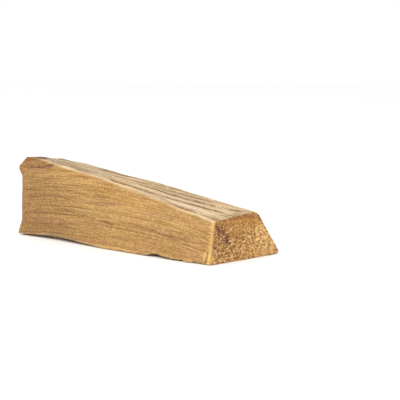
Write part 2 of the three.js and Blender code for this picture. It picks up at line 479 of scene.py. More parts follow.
def calmed_fine(grain, s, across):
    return torn_fine(grain, s, across) * (1 - THIN_END_CALM * smooth(*THIN_END_CALMS, s))


def base_fine(grain, s, across):
    return np.minimum(torn_fine(grain, s, across), 0)


FINES = {FRONT: front_fine, TOP: calmed_fine, BACK: calmed_fine, BASE: base_fine}
FINES[SHOULDER_FACE] = calmed_fine
EDGE_CALM = 0.4  # the fine relief fades out this near to a long edge

# Arrises: ring corner, how much is rubbed off, how much more where ragged, the length of such a stretch,
# how bright the bared wood is painted, as wear and in part as a painted highlight, and how far that
# reaches
ARRISES = [
    (0, 0.03, 0.3, 1.5, 0.3, 0.4),
    (TOP_CORNER, 0.08, 0.2, 3, 1, 0.6),
    (BACK_CORNER, 0.08, 0.15, 4, 0.45, 0.5),
    (SHOULDER_CORNER, 0.12, 0.15, 4, 0.3, 0.5),
    (FOOT_CORNER, 0.05, 0.3, 2, 0.3, 0.4),
]
ARRIS_REACH = 0.5
SPLINTER_SHARE = 0.4
SPLINTER_LENGTH = 0.7
BARE_PATCHES = (0.75, 0.5, 5)  # level, how much it varies, and over what length
BARE_START = (8, 13)  # the arrises are bared from here on,
BARE_FADE = 0.45  # and less so towards the thin end
BARE_FADES = (0.35 * LENGTH, 0.65 * LENGTH)
ARRIS_STEPS = 9
CHIPS = [(64.6, 0.35, 0.7), (85.4, 0.3, 0.9), (91.2, 0.5, 0.8)]  # (s, depth, half length) on the foot

CUT_RAG = 0.18  # how far the sawn ends' edges are broken back
CUT_RAG_REACH = 2.2
CUT_RAG_START = 0.35
CUT_RAG_FINE = 0.9
CUT_RAG_COARSE = 3
CUT_RAG_COARSE_SHARE = 0.4
CUT_ROUND = 0.06
CUT_ROUND_REACH = 0.35
# Pits, finer pits and the saw's rows: strength, size along y and z, and place in the noise
CUT_TEXTURE = [(0.55, 1.1, 1.1, 30), (0.6, 0.45, 0.45, 50), (0.25, 9, 0.8, 70)]
PIT_LEVEL = 0.5
PIT_DEPTH = 0.3
PIT_CALM = 0.7  # they stay this far off the edges
CUT_RELAXING = 240  # steps that even out a sawn end's grid, so that it doesn't fold beside its rim


def with_fine_relief(face, grid, out, v, width):
    """The face's points, fibres raised, how high they stand, and its cracks' painted shade and highlight.
    """
    s = grid[..., 0]
    grain = GRAINS[face](*np.moveaxis(grid, -1, 0))
    height = FINES[face](grain, s, v * width)
    steps = np.linalg.norm(np.diff(grid, axis=1), axis=2)
    run = np.concatenate([np.zeros((len(grid), 1)), np.cumsum(steps, 1)], 1)
    from_edge = np.minimum(run, run[:, -1:] - run)
    height = height * (1 - bell(from_edge / EDGE_CALM))
    split_shading = split_shading_along(face, s, v, width)
    raised = grid.copy()
    raised[..., 1:] += out[:, None, :] * (height - SPLIT_DEPTH * np.maximum(split_shading, 0))[..., None]
    return raised, height, split_shading


def wear_arrises(rings, outs, wear_and_edge_highlight):
    """Rounds and frays the long edges, and notes how bright they are painted, partly as wear, partly as
    highlight.
    """
    s = rings[:, 0, 0]
    for number, (corner, always, ragged, stretch, bright, reach) in enumerate(ARRISES):
        inward = -(outs[:, corner - 1] + outs[:, (corner + 1) % RING])
        inward /= np.linalg.norm(inward, axis=1)[:, None]
        rag = np.maximum(0, noise(s / stretch, 7.7 * number))
        rag += SPLINTER_SHARE * np.maximum(0, noise(s / SPLINTER_LENGTH, 5.1 * number, 3))
        amount = always + ragged * rag
        if corner == 0:
            for at, deep, half in CHIPS:
                amount += deep * np.exp(-(((s - at) / half) ** 4))
        columns = (corner + np.arange(-ARRIS_STEPS, ARRIS_STEPS + 1)) % RING
        distance = np.linalg.norm(rings[:, columns, 1:] - rings[:, corner % RING, None, 1:], axis=2)
        pull = bell(distance / ARRIS_REACH)
        rings[:, columns, 1:] += inward[:, None, :] * (amount[:, None] * pull)[..., None]
        level, change, length = BARE_PATCHES
        patchy = level + change * noise(s / length, 2.3 * number)
        bared_and_lit = bright * bell(distance / reach) * patchy[:, None]
        bared_and_lit *= (smooth(*BARE_START, s) * (1 - BARE_FADE * smooth(*BARE_FADES, s)))[:, None]
        wear_and_edge_highlight[:, columns] = np.maximum(wear_and_edge_highlight[:, columns], bared_and_lit)


def fray_cuts(rings):
    """Breaks back and rounds the edges of the two sawn ends."""
    s = rings[..., 0].copy()
    y, z = rings[..., 1], rings[..., 2]
    towards = rings[..., 1:].mean(1, keepdims=True) - rings[..., 1:]
    towards /= np.linalg.norm(towards, axis=2, keepdims=True)
    for cut, way in ((0, 1), (LENGTH, -1)):
        distance = np.abs(s - cut)
        fine = np.maximum(0, noise(y / CUT_RAG_FINE, z / CUT_RAG_FINE, 5 + cut))
        coarse = noise(y / CUT_RAG_COARSE, z / CUT_RAG_COARSE, 9)
        rag = CUT_RAG_START + fine + CUT_RAG_COARSE_SHARE * coarse
        rings[..., 0] += way * CUT_RAG * np.maximum(0, rag) * fading(distance / CUT_RAG_REACH)
        rings[..., 1:] += towards * (CUT_ROUND * bell(distance / CUT_ROUND_REACH))[..., None]


def cut_sides(ring):
    """The ring's left, top, right and bottom, each from the left or from below."""
    left = ring[: TOP_CORNER + 1]
    top = ring[TOP_CORNER : SHOULDER_CORNER + 1]
    right = ring[FOOT_CORNER : SHOULDER_CORNER - 1 : -1]
    bottom = np.concatenate([ring[:1], ring[: FOOT_CORNER - 1 : -1]])
    return left, top, right, bottom


def end_cap(ring, way):
    """A sawn end as a grid over its ring, with its pits, and how high they stand."""
    left, top, right, bottom = cut_sides(ring)
    u = np.linspace(0, 1, BASE_STEPS + 1)[:, None, None]
    v = np.linspace(0, 1, FRONT_STEPS + 1)[None, :, None]
    ruled = (1 - v) * bottom[:, None] + v * top[:, None] + (1 - u) * left[None] + u * right[None]
    corners = (1 - u) * ((1 - v) * left[0] + v * left[-1]) + u * ((1 - v) * right[0] + v * right[-1])
    grid = ruled - corners
    for _ in range(CUT_RELAXING):
        beside = grid[:-2, 1:-1] + grid[2:, 1:-1] + grid[1:-1, :-2] + grid[1:-1, 2:]
        grid[1:-1, 1:-1] = beside / 4
    y, z = grid[..., 1], grid[..., 2]
    roughness = sum(share * noise(y / wide, z / high, at * way) for share, wide, high, at in CUT_TEXTURE)
    sides = np.minimum(u[..., 0], 1 - u[..., 0]) * BASE_WIDTH
    inside = np.minimum(sides, np.minimum(v[..., 0], 1 - v[..., 0]) * THIN_END)
    depth = PIT_DEPTH * (PIT_LEVEL - roughness) * smooth(0, PIT_CALM, inside)
    grid[..., 0] -= way * np.maximum(depth, 0)
    return grid, roughness


def placed(points):
    """The points with their saw cuts skewed, and the broken corners moved back onto their planes."""
    points = points.copy()
    points[:, 0] += CUT_SKEW * points[:, 1]
    for (s, y, z), towards in BREAKS:
        out = np.array(towards) / np.linalg.norm(towards)
        beyond = (points - np.array([s + CUT_SKEW * y, y, z])) @ out
        rough = BREAK_ROUGHNESS * noise(*np.moveaxis(points / BREAK_GRAIN, -1, 0))
        points = points - np.maximum(0, beyond + rough * (beyond > 0))[..., None] * out
    return points


# What the material is told about each point

# How far each torn face has the pale torn look, and not the smooth face's
TORN_SHARES = {TOP: 1, SHOULDER_FACE: 0.8, BACK: 0.66, BASE: 0.66}
MARKED_TRAITS = ("stain_and_shade", "gold", "pale_and_lit", "shut")
TRAITS = ("relief_shading", "split_shading", "wear_and_edge_highlight", "aged", "band", *MARKED_TRAITS)
CREST_SCALE = 0.2  # a ridge this high gets the full painted highlight
GROOVE_SCALE = 1.6  # and a groove this deep the full painted shade
# The wood is browner and duller in patches and towards the thick end, but not in a golden strip of
# the smooth face
AGE_PATCHES = (0.2, 9, 3)  # how much they vary, over what length, and how often across
FRONT_AGE = 0.8
FRONT_FRESHENS = (12, 60)
GOLDEN = 0.8
GOLDEN_UP = (0.5, 0.85)
GOLDEN_ALONG = (8, 26)
TOP_AGE = 0.14
TOP_DULLER = 0.5
TOP_FRESHENS = (28, 44)
BACK_AGE = 0.12
BAND_EDGE = (-0.04, 0.04)
BACK_BANDS = (1.1, 1.2, 30, 4)  # level, how much it varies, over what length, and how often across
MARK_TIP = 0.3  # how thin a mark's tips are

# Colour marks of each trait and face: half width, strength, and the points of the mark's line, as
# (s, across) on a side and (y, z) on a sawn end. END is the thin end here, THICK_CUT the other.
MARKS = {}
MARKS["stain_and_shade", FRONT] = [
    (0.38, 1, (45.6, 10.3), (48, 10.1), (51.2, 9.6)),
    (0.26, 0.55, (54, 10.9), (60.8, 11.1), (64.7, 10.3), (70, 9.3)),
    (0.38, 0.6, (68, 9.8), (74.2, 7.9), (82.9, 8.1), (87.2, 7.5), (94, 7.4)),
    (0.9, 0.3, (78.5, 8.4), (85, 7.6)),
    (0.24, 0.4, (43.3, 17.4), (54, 17.6)),
    (0.24, 0.35, (43.8, 11.7), (50.5, 12.1)),
    (0.24, 0.4, (44.4, 5.9), (48, 5.7), (59, 4.4)),
    (0.24, 0.35, (77, 15.5), (85, 15.6)),
    (0.22, 0.3, (67.4, 15.8), (74, 14.8)),
    (0.26, 0.45, (2, 17.7), (16, 18.3), (29.6, 18.7), (38, 18.4), (49, 19.5)),
    (0.24, 0.4, (10, 21.3), (22, 21.7)),
    (0.3, 0.5, (10, 11.7), (22.7, 11.1), (35, 10.5), (42, 10.7)),
    (0.26, 0.4, (0.8, 3.7), (16.9, 4.1), (29, 4.6)),
    (0.24, 0.45, (3, 8.2), (14, 8.6), (27, 8.9)),
    (0.26, 0.45, (5, 14.6), (18, 15), (33, 15.2)),
    (0.22, 0.4, (6, 6.2), (20, 6.6), (33, 6.4)),
    (0.3, 0.5, (3, 27.3), (14, 27.3)),
    (1.8, 0.44, (3, 29.4), (10, 29.2), (17, 28.2)),
    # painted shade: the dark line under the lifted sliver's edge
    (0.34, 0.9, (4.8, 26.1), (12.6, 26.35), (16, 26.7), (18.6, 27.7)),
    (0.55, 1, (13.2, 26.4), (16.2, 26.8), (18.8, 27.8)),
    # painted shade: the dark line in the crack by the thin end
    (0.3, 1, (96.7, 4.3), (96.3, 2.2), (95.9, -0.6)),
    # painted shade where the smooth face turns away at the thick end
    (1.2, 0.25, (0.6, 26), (0.6, 4)),
    (0.3, 0.5, (3, 2), (12, 2.2), (24, 2.4)),
    (2, 0.12, (2, 1.5), (14, 1.8), (26, 2.4)),
]
MARKS["gold", FRONT] = [
    (1.7, 0.7, (0.5, 27.2), (3.5, 27.8)),
    (2.6, 0.45, (22, 26.5), (45, 22.5), (70, 17)),
]
MARKS["pale_and_lit", FRONT] = [
    (0.5, 0.8, (95.8, 4.6), (95.2, 1.2)),
    # painted highlight on the broken-off splinter at the thin end's foot
    (1, 1, (97.6, 4.2), (97.3, -0.6)),
    (1.1, 0.6, (97.5, 15.4), (97.8, 9.3), (97.8, 4.4), (97.6, -0.6)),
    (0.5, 0.45, (42, 0.7), (54, 0.8), (65, 0.6)),
]
MARKS["stain_and_shade", TOP] = [
    (1, 1, (7.2, 1.9), (9.4, 2.3), (12, 2.4)),
    (0.35, 0.9, (7, 3.4), (9.5, 3.7), (12.5, 3.6)),
    (2.5, 0.3, (1, 2), (10, 4)),
    (0.5, 0.5, (29, 1.2), (36, 1.3), (44, 1.2)),
    (0.3, 0.7, (46, 2.2), (60, 3), (72, 3.4)),
    (0.5, 0.45, (68, 6.3), (75, 7.5), (80, 8.4), (90, 10.1)),
    (0.5, 0.5, (70, 12.4), (75, 13.3), (80, 14.2)),
]
MARKS["gold", TOP] = [
    (0.8, 0.6, (66, 0.3), (80, 0.5), (92, 0.7)),
]
MARKS["pale_and_lit", TOP] = [
    (1.2, 1, (12.6, 1.9), (17, 1.6), (26, 2)),
    (0.6, 0.9, (24, 2.3), (34, 2.6), (45, 2.7)),
    (0.9, 1, (36, 0.9), (48, 1.1), (62, 1.3)),
    (1.6, 1, (50, 1.5), (66, 3), (80, 4.6), (92, 5.8)),
    (0.9, 1, (58, 1.3), (68, 1.9), (78, 3.3)),
    (1.4, 0.6, (29, 7.6), (34, 8.6), (40, 9.6)),
    (2.2, 0.8, (86, 1.5), (91, 6), (95, 12)),
    (0.8, 0.7, (50, 4.4), (64, 6.6), (78, 8.8)),
]
MARKS["stain_and_shade", END] = [
    (2.9, 0.95, (4.9, 14), (6.8, 11.4), (9.6, 8.6), (11.2, 7.2)),
    (4.5, 0.22, (4.5, 8), (10, 3)),
    (3.2, 0.2, (14, 13), (16.5, 9)),
    (0.9, 0.5, (4.6, 14.8), (4.9, 12), (4.6, 9)),
    (0.7, 0.45, (9, 15.6), (16, 16.1), (24.5, 16.2)),
    (1.3, 0.6, (20.6, 15.9), (23.4, 14.9)),
    (0.4, 0.9, (4, 15.2), (3.15, 9), (2.45, 4.8)),
]
MARKS["gold", END] = [
    (1.8, 0.8, (11.6, 13), (14.4, 10.7)),
    (3, 0.8, (13.5, 12), (17.5, 9)),
    (3.4, 1, (7, 15.4), (16, 14.6), (25, 13.6)),
]
MARKS["pale_and_lit", END] = [
    (1.1, 0.8, (26.2, 13.6), (30, 8.6), (34.2, 2.2)),
    (3, 0.7, (24.5, 3), (31, 2.6), (27.5, 6.5)),
    (5.5, 1, (22, 9), (27, 6), (30, 3)),
    # painted highlight on that splinter, seen on the sawn end
    (1.5, 1, (2.7, 3.5), (2.4, 0.6)),
]
MARKS["shut", END] = [
    (2.6, 0.9, (5, 16.4), (10, 15.8), (17, 15.6), (24, 15), (25.5, 13)),
    (3.4, 0.55, (13, 12), (21, 11.3)),
    (2.6, 0.75, (20, 1.6), (27, 1.4), (34, 1.6)),
    (1.5, 1, (2.6, 3.8), (2.3, 0.8)),
    (1.1, 0.7, (26.4, 13.8), (30.2, 8.6), (34.4, 2.6)),
]
MARKS["stain_and_shade", THICK_CUT] = [
    (2.6, 0.8, (9, 12), (13, 8.5), (17, 7)),
    (0.4, 0.6, (10, 18), (15, 13), (22, 9)),
    (1, 0.5, (1.5, 29), (12, 29.5), (22, 27)),
]
MARKS["gold", THICK_CUT] = [
    (5, 0.8, (8, 24), (16, 20)),
]
MARKS["pale_and_lit", THICK_CUT] = [
    (5, 0.4, (27, 9), (24, 4)),
]
MARKS["shut", THICK_CUT] = [
    (4.5, 0.8, (2, 29), (12, 29), (22, 26), (27, 20)),
    (13, 0.8, (8, 22), (14, 14), (24, 8)),
    (4, 0.8, (18, 2.5), (33, 3)),
]


def line_mask(a, b, points, half):
    """1 on a line through the points, fading over its half width."""
    corners = np.array(points, float)
    lengths = np.hypot(*np.diff(corners, axis=0).T)
    mask = 0 * a * b
    done = 0
    for start, end, length in zip(corners, corners[1:], lengths):
        step = (end - start) / length
        run = np.clip((a - start[0]) * step[0] + (b - start[1]) * step[1], 0, length)
        off = np.hypot(a - start[0] - run * step[0], b - start[1] - run * step[1])
        share = (done + run) / lengths.sum()
        thin = MARK_TIP + (1 - MARK_TIP) * np.sqrt(4 * share * (1 - share))
        mask = np.maximum(mask, bell(off / (half * thin)))
        done += length
    return mask


def marks_on(face, a, b):
    """The mask of each marked trait."""
    masks = {trait: 0 * a * b for trait in MARKED_TRAITS}
    for trait in MARKED_TRAITS:
        for half, strength, *points in MARKS.get((trait, face), []):
            masks[trait] = np.maximum(masks[trait], strength * line_mask(a, b, points, half))
    return masks


def aged_on(face, s, v):
    """How brown and dull the wood has gone, from 0 to 1."""
    change, length, often = AGE_PATCHES
    patchy = change * noise(s / length, often * v)
    age = BACK_AGE + patchy
    if face == FRONT:
        golden = smooth(*GOLDEN_UP, v) * smooth(*GOLDEN_ALONG, s)
        age = FRONT_AGE * (1 - smooth(*FRONT_FRESHENS, s)) * (1 - GOLDEN * golden) + patchy
    if face == TOP:
        age = TOP_AGE + TOP_DULLER * (1 - smooth(*TOP_FRESHENS, s)) + 0.5 * patchy
    return np.clip(age, 0, 1)


def band_on(face, s, v):
    """Which strip of a torn face a point is in: 0 cream, 1 peach and 2 grey."""
    if face == TOP:
        _, (first, first_end, *_), (second, second_end, *_), *_ = TOP_GROOVES
        past_first = smooth(*BAND_EDGE, v - groove_line(first, first_end, s))
        return past_first + smooth(*BAND_EDGE, v - groove_line(second, second_end, s))
    level, change, length, often = BACK_BANDS
    return np.clip(level + change * noise(s / length, often * v, face), 0, 2)


def side_traits(face, s, v, width, height, split_shading):
    hollow = groove_depth(GROOVES.get(face, []), s, v, width) / GROOVE_SCALE
    return {
        # from this, ridges get a painted highlight and hollows painted shade
        "relief_shading": height / CREST_SCALE - hollow,
        "split_shading": split_shading,
        "wear_and_edge_highlight": 0 * s * v,
        "aged": aged_on(face, s, v),
        "band": band_on(face, s, v),
        **marks_on(face, s, v * width),
    }


def end_traits(grid, roughness, way):
    nothing = {trait: 0 * roughness for trait in TRAITS}
    marks = marks_on(END if way > 0 else THICK_CUT, grid[..., 1], grid[..., 2])
    # the pits' relief gives the sawn end its painted shade
    return {**nothing, "relief_shading": roughness, **marks}


# The pieces

def mesh_object(name, vertices, faces):
    mesh = bpy.data.meshes.new(name)
    mesh.from_pydata(vertices.tolist(), [], faces)
    mesh.update()
    mesh.shade_smooth()
    piece = bpy.data.objects.new(name, mesh)
    bpy.context.collection.objects.link(piece)
    return piece


def tell_material(mesh, name, values, domain="POINT", kind="FLOAT", key="value"):
    """Gives each point, or each face's corners, a value that the material reads by its name."""
    attribute = mesh.attributes.new(name, kind, domain)
    attribute.data.foreach_set(key, values.astype(np.float32).reshape(-1))


def shape_rings():
    """The stick's sides as rings of points, with their directions and traits."""
    s = LENGTH * crowd(STATIONS, STATION_CROWDING)
    rings = np.zeros((STATIONS + 1, RING, 3))
    outs = np.zeros((STATIONS + 1, RING, 2))
    traits = {trait: np.zeros((STATIONS + 1, RING)) for trait in TRAITS}
    for face, (grid, out, v) in ring_grids(s).items():
        first, last = FACE_SPANS[face]
        width = np.linalg.norm(grid[:, -1, 1:] - grid[:, 0, 1:], axis=1)[:, None]
        raised, height, split_shading = with_fine_relief(face, grid, out, v, width)
        rings[:, first:last] = raised[:, :-1]
        outs[:, first:last] = out[:, None, :]
        for trait, values in side_traits(face, s[:, None], v, width, height, split_shading).items():
            traits[trait][:, first:last] = values[:, :-1]
    wear_arrises(rings, outs, traits["wear_and_edge_highlight"])
    fray_cuts(rings)
    return rings, outs, traits


def quads(numbers):
    """The faces between the points whose numbers fill a grid."""
    corners = [numbers[:-1, :-1], numbers[1:, :-1], numbers[1:, 1:], numbers[:-1, 1:]]
    return np.stack(corners, -1).reshape(-1, 4)


def side_quads():
    """The faces between the rings, and the side that each belongs to."""
    index = np.arange((STATIONS + 1) * RING).reshape(-1, RING)
    closed = np.concatenate([index, index[:, :1]], 1)
    faces = [quads(closed[:, first : last + 1]) for first, last in FACE_SPANS.values()]
    regions = [np.full(len(rows), face) for face, rows in zip(FACE_SPANS, faces)]
    return faces, regions


def cap_quads(station, way, shape, first_inner):
    """The faces of a sawn end, whose rim is the ring at that station."""
    numbers = np.zeros(shape, int)
    inner = (shape[0] - 2, shape[1] - 2)
    numbers[1:-1, 1:-1] = first_inner + np.arange(math.prod(inner)).reshape(inner)
    rim = np.arange(RING) + station * RING
    numbers[0, :], numbers[:, -1], numbers[-1, :], numbers[:, 0] = cut_sides(rim)
    return quads(numbers)[:, ::way]


def build_stick(rings, ring_traits):
    """The whole stick as one closed mesh that carries its traits."""
    points = [rings.reshape(-1, 3)]
    traits = {trait: [values.reshape(-1)] for trait, values in ring_traits.items()}
    faces, regions = side_quads()
    count = len(points[0])
    for station, way in ((0, -1), (STATIONS, 1)):
        grid, roughness = end_cap(rings[station], way)
        faces.append(cap_quads(station, way, roughness.shape, count))
        regions.append(np.full(len(faces[-1]), END))
        inner = grid[1:-1, 1:-1]
        points.append(inner.reshape(-1, 3))
        for trait, values in end_traits(inner, roughness[1:-1, 1:-1], way).items():
            traits[trait].append(values.reshape(-1))
        count += len(points[-1])

    faces = np.concatenate(faces)
    local = placed(np.concatenate(points))
    stick = mesh_object("palo_santo_wood", CORNER + local * MM, faces.tolist())
    for trait, values in traits.items():
        tell_material(stick.data, trait, np.concatenate(values))

    region = np.repeat(np.concatenate(regions), 4)
    corner_points = local[faces.reshape(-1)]
    corner_points[:, 0] -= CUT_SKEW * corner_points[:, 1]
    grain = np.zeros((len(region), 3))
    for face, grain_of in GRAINS.items():
        chosen = region == face
        grain[chosen] = np.stack(grain_of(*corner_points[chosen].T), -1)
    tell_material(stick.data, "grain", grain, "CORNER", "FLOAT_VECTOR", "vector")
    for name, shares in (("end_cut", {END: 1}), ("torn", TORN_SHARES)):
        values = np.zeros(len(region))
        for face, share in shares.items():
            values[region == face] = share
        tell_material(stick.data, name, values, "CORNER")
    return stick


# Loose fibres: how many on each face and the range of their tones, and the range of each measure
FIBRE_KINDS = {
    FRONT: (14, 0, 0.2),
    TOP: (150, 0.3, 1),
    SHOULDER_FACE: (60, 0.1, 0.6),
    BACK: (170, 0.1, 0.6),
}
WHISKER_TONES = (0, 0.7)
FIBRE_LENGTH = (2, 9)
FIBRE_WIDTH = (0.1, 0.28)
FIBRE_LIFT = (0.02, 0.35)
FIBRE_BEND = 0.5
FIBRE_SUNK = 0.06
FIBRE_STEPS = 6
FIBRE_TIP = 0.012
FIBRE_TAPER = 0.7
FIBRE_THICKNESS = 1.1
FIBRE_MARGIN = 5  # they stay this far off the cuts
WHISKER_COUNT = 110  # short ones, standing off each sawn end's rim
WHISKER_LENGTH = (0.25, 0.9)
WHISKER_WIDTH = (0.08, 0.2)
WHISKER_ROOT = 0.3
WHISKER_LEAN = (-0.1, 0.3)
WHISKER_SUNK = 0.08
LOWEST = 0.02  # nothing hangs below this height


def fibre_mesh(spine, out, width):
    """The points and faces of one fibre: a three-sided spike along its spine."""
    side = np.array([-out[1], out[0]])
    half = FIBRE_TIP + 0.5 * width * (1 - np.linspace(0, 1, len(spine))) ** FIBRE_TAPER
    rows = []
    for way, reach in ((side, 1), (-side, 1), (out, FIBRE_THICKNESS)):
        row = spine.copy()
        row[:, 1:] += way * (half * reach)[:, None]
        rows.append(row)
    points = np.stack(rows, 1).reshape(-1, 3)
    points[:, 2] = np.maximum(points[:, 2], LOWEST)
    faces = [(0, 1, 2), (3 * len(spine) - 1, 3 * len(spine) - 2, 3 * len(spine) - 3)]
    for k in range(len(spine) - 1):
        for j in range(3):
            a, b = 3 * k + j, 3 * k + (j + 1) % 3
            faces.append((a, a + 3, b + 3, b))
    return points, faces


def lying_fibres(rings, outs, random):
    """Spines of fibres that lie along the sides and lift off towards their tips."""
    stations = rings[:, :, 0].mean(1)
    t = np.linspace(0, 1, FIBRE_STEPS + 1)
    for face, (count, *tones) in FIBRE_KINDS.items():
        first, last = FACE_SPANS[face]
        for _ in range(count):
            column = random.integers(first + 2, last - 2)
            length = random.uniform(*FIBRE_LENGTH)
            way = random.choice((-1, 1))
            start = random.uniform(FIBRE_MARGIN, LENGTH - FIBRE_MARGIN - length)
            start += length if way < 0 else 0
            bend = random.uniform(-FIBRE_BEND, FIBRE_BEND)
            lift = random.uniform(*FIBRE_LIFT)
            width = random.uniform(*FIBRE_WIDTH)
            run = start + way * length * t
            out = outs[np.searchsorted(stations, start), column]
            y, z = (np.interp(run, stations, rings[:, column, c]) for c in (1, 2))
            spine = np.stack([run, y, z], 1)
            spine[:, 1:] += out * (lift * t**2 - FIBRE_SUNK)[:, None]
            spine[:, 1:] += np.array([-out[1], out[0]]) * (bend * t**2)[:, None]
            yield spine, out, width, random.uniform(*tones)


def standing_whiskers(rings, outs, random):
    """Spines of the short fibres that the saw left round both ends."""
    t = np.linspace(0, 1, 3)
    for station, way in ((0, -1), (STATIONS, 1)):
        for _ in range(WHISKER_COUNT):
            column = random.integers(0, FOOT_CORNER)
            length = random.uniform(*WHISKER_LENGTH)
            width = random.uniform(*WHISKER_WIDTH)
            out = outs[station, column]
            spine = np.repeat(rings[station, column][None], 3, 0)
            spine[:, 0] += way * (length * t - WHISKER_ROOT)
            spine[:, 1:] += out * (random.uniform(*WHISKER_LEAN) * t - WHISKER_SUNK)[:, None]
            yield spine, out, width, random.uniform(*WHISKER_TONES)


def build_fibres(rings, outs):
    random = np.random.default_rng(SEED + 1)
    points = []
    faces = []
    tones = []
    for maker in (lying_fibres, standing_whiskers):
        for spine, out, width, tone in maker(rings, outs, random):
            fibre_points, fibre_faces = fibre_mesh(spine, out, width)
            points.append(fibre_points)
            faces += [tuple(len(tones) + i for i in face) for face in fibre_faces]
            tones += [tone] * len(fibre_points)
    local = placed(np.concatenate(points))
    piece = mesh_object("torn_fibres", CORNER + local * MM, faces)
    tell_material(piece.data, "tone", np.array(tones))
    return piece


# Materials

LIGHT_ON_WOOD = 1.3  # how bright a white surface at the stick's place comes out
# What the colour is multiplied by where the wood is old, and where the cuts' marks lie
FRONT_AGED = (0.72, 0.67, 0.66, 1)
TORN_AGED = (0.66, 0.67, 0.7, 1)
CUT_PALE = (1.15, 1.12, 1.06, 1)
CUT_GOLD = (0.95, 0.87, 0.76, 1)
SPECK_WOBBLE = (0.45, 0.45, 0.45)
SPECK_WAVES = 1.6
SPECK_EDGE = 0.05
SPECK_CORE = 0.45
SPECULAR = 0.3
BUMP_STRENGTH = 0.5
BUMP_DEPTH = 0.00012
# The growth rings in the sawn ends: where their middle lies beyond the stick, as (y, z), radians
# for each millimetre out from it, and how far they wander
PITH = (-12, -30)
RING_RATE = 2.4
RING_WANDER = 9
RINGS_SHOWN = [(20, 0.34), (70, 0)]  # how strong at these places along the stick


def seen(red, green, blue):
    """The albedo that comes out as this picture colour, from 0 to 255, in the studio."""
    channels = [c / 255 for c in (red, green, blue)]
    linear = [c / 12.92 if c <= 0.04045 else ((c + 0.055) / 1.055) ** 2.4 for c in channels]
    return (*[c / LIGHT_ON_WOOD for c in linear], 1)


class Graph:
    """A material's nodes, with one short call for each."""

    def __init__(self, name):
        self.material = bpy.data.materials.new(name)
        self.material.use_nodes = True
        self.tree = self.material.node_tree
        self.tree.nodes.clear()

    def add(self, kind, inputs=None, **settings):
        """Adds a node, whose inputs are linked or set, and returns its outputs."""
        node = self.tree.nodes.new("ShaderNode" + kind)
        for key, value in settings.items():
            setattr(node, key, value)
        for name, value in (inputs or {}).items():
            if isinstance(value, bpy.types.NodeSocket):
                self.tree.links.new(value, node.inputs[name])
            else:
                node.inputs[name].default_value = value
        return node.outputs

    def math(self, operation, a, b=0):
        return self.add("Math", {0: a, 1: b}, operation=operation)[0]

    def times(self, a, b):
        return self.math("MULTIPLY", a, b)

    def mix(self, factor, a, b, blend="MIX"):
        return self.add("Mix", {0: factor, 6: a, 7: b}, data_type="RGBA", blend_type=blend)[2]

    def shade(self, factor, colour, tint):
        """The colour times a tint, where the factor is 1."""
        return self.mix(factor, colour, tint, "MULTIPLY")

    def layers(self, colour, rows):
        """The colour under tints, from the lowest up. A tint's row has the value that it follows, the
        two stops where it starts and is full, its strength and its colour. A row without stops has
        a mask as its value."""
        for value, *stops, strength, rgb in rows:
            if stops:
                mask = self.ramp(value, (stops[0], 0), (stops[1], strength))
            else:
                mask = self.times(value, strength)
            colour = self.mix(mask, colour, seen(*rgb))
        return colour

    def ramp(self, value, low, high):
        """A value carried from one stop (value, result) to the next."""
        stops = {"From Min": low[0], "From Max": high[0], "To Min": low[1], "To Max": high[1]}
        return self.add("MapRange", {"Value": value, **stops})[0]

    def value(self, name, kind="Fac"):
        return self.add("Attribute", attribute_name=name)[kind]

    def stretched(self, vector, scale):
        return self.add("VectorMath", {0: vector, 1: scale}, operation="MULTIPLY")[0]

    def noise(self, vector, scale, roughness=0.5, detail=2, distortion=0):
        """Noise with its own scale along each axis. The last one given stands for the rest."""
        place = self.stretched(vector, (*scale, scale[-1])[:3])
        inputs = {"Scale": 1, "Detail": detail, "Roughness": roughness, "Distortion": distortion}
        return self.add("TexNoise", {"Vector": place, **inputs})[0]

    def hairlines(self, grain, rate, wander):
        """Thin dark lines of even width that come and go along the grain, as a mask."""
        parts = self.add("SeparateXYZ", {0: grain})
        across = self.times(self.math("ADD", parts[1], parts[2]), rate)
        drift = self.times(self.noise(grain, (0.012, 0.25)), wander)
        ripple = self.math("SINE", self.math("ADD", across, drift))
        lasting = self.ramp(self.noise(grain, (0.04, 0.5 * rate)), (0.46, 0), (0.56, 1))
        return self.times(self.ramp(ripple, (0.6, 0), (1, 1)), lasting)

    def specks(self, vector, scale, share, bright_share, size):
        """Uneven specks in two random shares of the cells: a mask for dark and one for bright."""
        place = self.stretched(vector, scale)
        wobble = self.add("TexNoise", {"Vector": place, "Scale": SPECK_WAVES, "Detail": 2})["Color"]
        moved = self.add("VectorMath", {0: wobble, 1: SPECK_WOBBLE, 2: place}, operation="MULTIPLY_ADD")
        cells = self.add("TexVoronoi", {"Vector": moved[0], "Scale": 1})
        chance = self.add("SeparateColor", {0: cells["Color"]})[0]
        spot = self.ramp(cells["Distance"], (size, 0), (SPECK_CORE * size, 1))
        dark = self.ramp(chance, (share, 0), (share - SPECK_EDGE, 1))
        bright = self.ramp(chance, (1 - bright_share, 0), (1 + SPECK_EDGE - bright_share, 1))
        return self.times(dark, spot), self.times(bright, spot)

    def growth_rings(self, grain):
        """Dark rings round the pith, as a mask, which show at the thick end alone."""
        section = self.stretched(grain, (0, 1, 1))
        radius = self.add("VectorMath", {0: section, 1: (0, *PITH)}, operation="DISTANCE")
        out = self.times(radius["Value"], RING_RATE)
        drift = self.times(self.noise(grain, (0, 0.09)), RING_WANDER)
        dark = self.ramp(self.math("SINE", self.math("ADD", out, drift)), (-0.2, 0), (1, 1))
        along_stick = self.add("SeparateXYZ", {0: grain})[0]
        stops = [(END_PLACE + at, strength) for at, strength in RINGS_SHOWN]
        return self.times(dark, self.ramp(along_stick, *stops))

    def surface(self, colour, roughness, more=None):
        inputs = {"Base Color": colour, "Roughness": roughness, **(more or {})}
        self.add("OutputMaterial", {"Surface": self.add("BsdfPrincipled", inputs)[0]})


